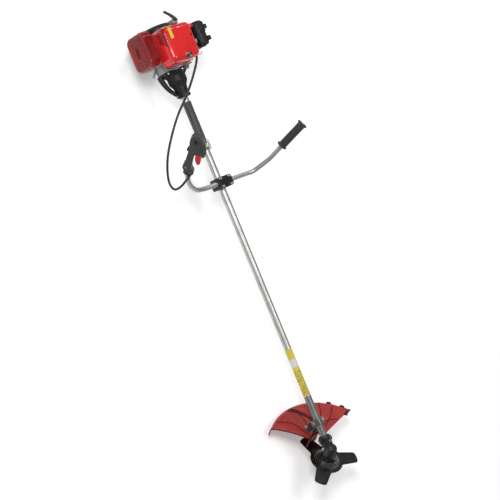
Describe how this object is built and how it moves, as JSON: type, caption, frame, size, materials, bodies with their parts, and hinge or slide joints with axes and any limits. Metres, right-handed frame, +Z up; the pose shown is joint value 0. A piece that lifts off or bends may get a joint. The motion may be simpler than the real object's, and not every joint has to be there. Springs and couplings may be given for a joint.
{
  "type": "string trimmer",
  "caption": "Petrol brush cutter: straight shaft, bike handlebar with throttle handle, toothed blade under a curved shield, engine at the rear.",
  "frame": {"origin": "under the middle of the machine (without its cable), on the surface it lies on", "axes": "+X along the shaft towards the blade, +Y to the operator's left, +Z up"},
  "size_m": [1.8718, 0.5636, 0.418],
  "materials": {
    "red": "gloss red engine cover and shield",
    "maroon": "burgundy louvred guard",
    "black": "satin black moulding",
    "rubber": "matt rubber",
    "steel": "bright steel",
    "dark_steel": "dark hardened steel",
    "alloy": "satin light alloy",
    "tank": "translucent white tank plastic",
    "foam": "open foam",
    "grey": "dark grey moulding"
  },
  "bodies": {
    "machine": {"cable_adjuster": "steel", "carburettor": "alloy", "clamp_base": "black", "clamp_bolt_1": "steel", "clamp_bolt_2": "steel", "clamp_bolt_3": "steel", "clamp_bolt_4": "steel", "clamp_cap": "black", "clamp_lower": "black", "clutch_housing": "black", "crankcase": "alloy", "cylinder": "alloy", "engine_shroud": "red", "filter_base": "black", "filter_element": "foam", "fuel_tank": "tank", "gear_case": "black", "grease_plug": "steel", "grip_sleeve": "rubber", "handlebar": "alloy", "harness_hanger": "steel", "left_grip": "rubber", "muffler": "dark_steel", "muffler_guard": "maroon", "shaft_bushing_1": "black", "shaft_bushing_2": "black", "shaft_bushing_3": "black", "shaft_tube": "alloy", "shield": "red", "shield_bracket": "alloy", "spark_plug": "steel", "starter_housing": "black", "tank_stand": "black", "throttle_body_inner": "grey", "throttle_body_outer": "grey", "throttle_cable": "rubber"},
    "drive": {"drive_shaft": "steel", "pinion": "steel", "clutch_drum": "dark_steel"},
    "cutter": {"output_shaft": "steel", "upper_flange": "steel", "lower_flange": "steel", "blade_nut": "steel", "blade": "dark_steel"},
    "crank": {"crankshaft": "steel", "flywheel": "alloy", "clutch_shoe_1": "dark_steel", "clutch_shoe_2": "dark_steel", "starter_dog": "dark_steel"},
    "piston": {"piston": "alloy"},
    "pulley": {"starter_pulley": "black"},
    "pull": {"starter_handle": "rubber"},
    "trigger": {"throttle_trigger": "red"},
    "cam": {"throttle_cam": "steel"},
    "lockout": {"lockout_lever": "black"},
    "switch": {"stop_switch": "red"},
    "choke": {"choke_lever": "black"},
    "primer": {"primer_bulb": "tank"},
    "cap": {"fuel_cap": "black"},
    "air_cover": {"filter_cover": "black"}
  },
  "joints": [
    {"name": "drive_spin", "type": "hinge", "parent": "machine", "child": "drive", "pos_m": [0.7716, -0.0385, 0.1608], "axis": [1, 0, 0], "continuous": true},
    {"name": "blade_spin", "type": "hinge", "parent": "machine", "child": "cutter", "pos_m": [0.86113, -0.0385, 0.12148], "axis": [-0.5736, 0, 0.8192], "continuous": true},
    {"name": "crank_spin", "type": "hinge", "parent": "machine", "child": "crank", "pos_m": [-0.8004, -0.0385, 0.1608], "axis": [1, 0, 0], "continuous": true},
    {"name": "piston_stroke", "type": "slide", "parent": "machine", "child": "piston", "axis": [0, 0, 1], "range_m": [-0.01, 0.01]},
    {"name": "pulley_spin", "type": "hinge", "parent": "machine", "child": "pulley", "pos_m": [-0.8794, -0.0385, 0.1608], "axis": [1, 0, 0], "continuous": true},
    {"name": "starter_pull", "type": "slide", "parent": "machine", "child": "pull", "axis": [0, 0, 1], "range_m": [0, 0.6], "stiffness_N_per_m": 12, "springref_m": -0.5},
    {"name": "trigger_squeeze", "type": "hinge", "parent": "machine", "child": "trigger", "pos_m": [-0.3815, -0.22907, 0.35186], "axis": [0.4667, -0.7664, 0.4414], "range_deg": [-16, 0], "stiffness_Nm_per_rad": 0.25, "springref_deg": 17.19},
    {"name": "throttle_cam_turn", "type": "hinge", "parent": "machine", "child": "cam", "pos_m": [-0.8084, 0.0305, 0.2531], "axis": [0, 0, 1], "range_deg": [-64, 0]},
    {"name": "lockout_press", "type": "hinge", "parent": "machine", "child": "lockout", "pos_m": [-0.41792, -0.24469, 0.36325], "axis": [0.4667, -0.7664, 0.4414], "range_deg": [0, 9], "stiffness_Nm_per_rad": 0.1, "springref_deg": -17.19},
    {"name": "stop_switch_slide", "type": "slide", "parent": "machine", "child": "switch", "axis": [-0.6575, 0.0332, 0.7527], "range_m": [0, 0.0045]},
    {"name": "choke_turn", "type": "hinge", "parent": "machine", "child": "choke", "pos_m": [-0.7691, 0.048, 0.2648], "axis": [1, 0, 0], "range_deg": [-60, 0]},
    {"name": "primer_press", "type": "slide", "parent": "machine", "child": "primer", "axis": [0, 0, 1], "range_m": [0, 0.005], "stiffness_N_per_m": 300, "springref_m": -0.002},
    {"name": "fuel_cap_unscrew", "type": "hinge", "parent": "machine", "child": "cap", "pos_m": [-0.8084, 0.0215, 0.0608], "axis": [0, 1, 0], "continuous": true},
    {"name": "air_cover_lift", "type": "slide", "parent": "machine", "child": "air_cover", "axis": [0, 1, 0], "range_m": [0, 0.06]}
  ],
  "couplings": [
    {"joint": "drive_spin", "follows": "blade_spin", "ratio": 1.3571},
    {"joint": "throttle_cam_turn", "follows": "trigger_squeeze", "ratio": 4}
  ]
}
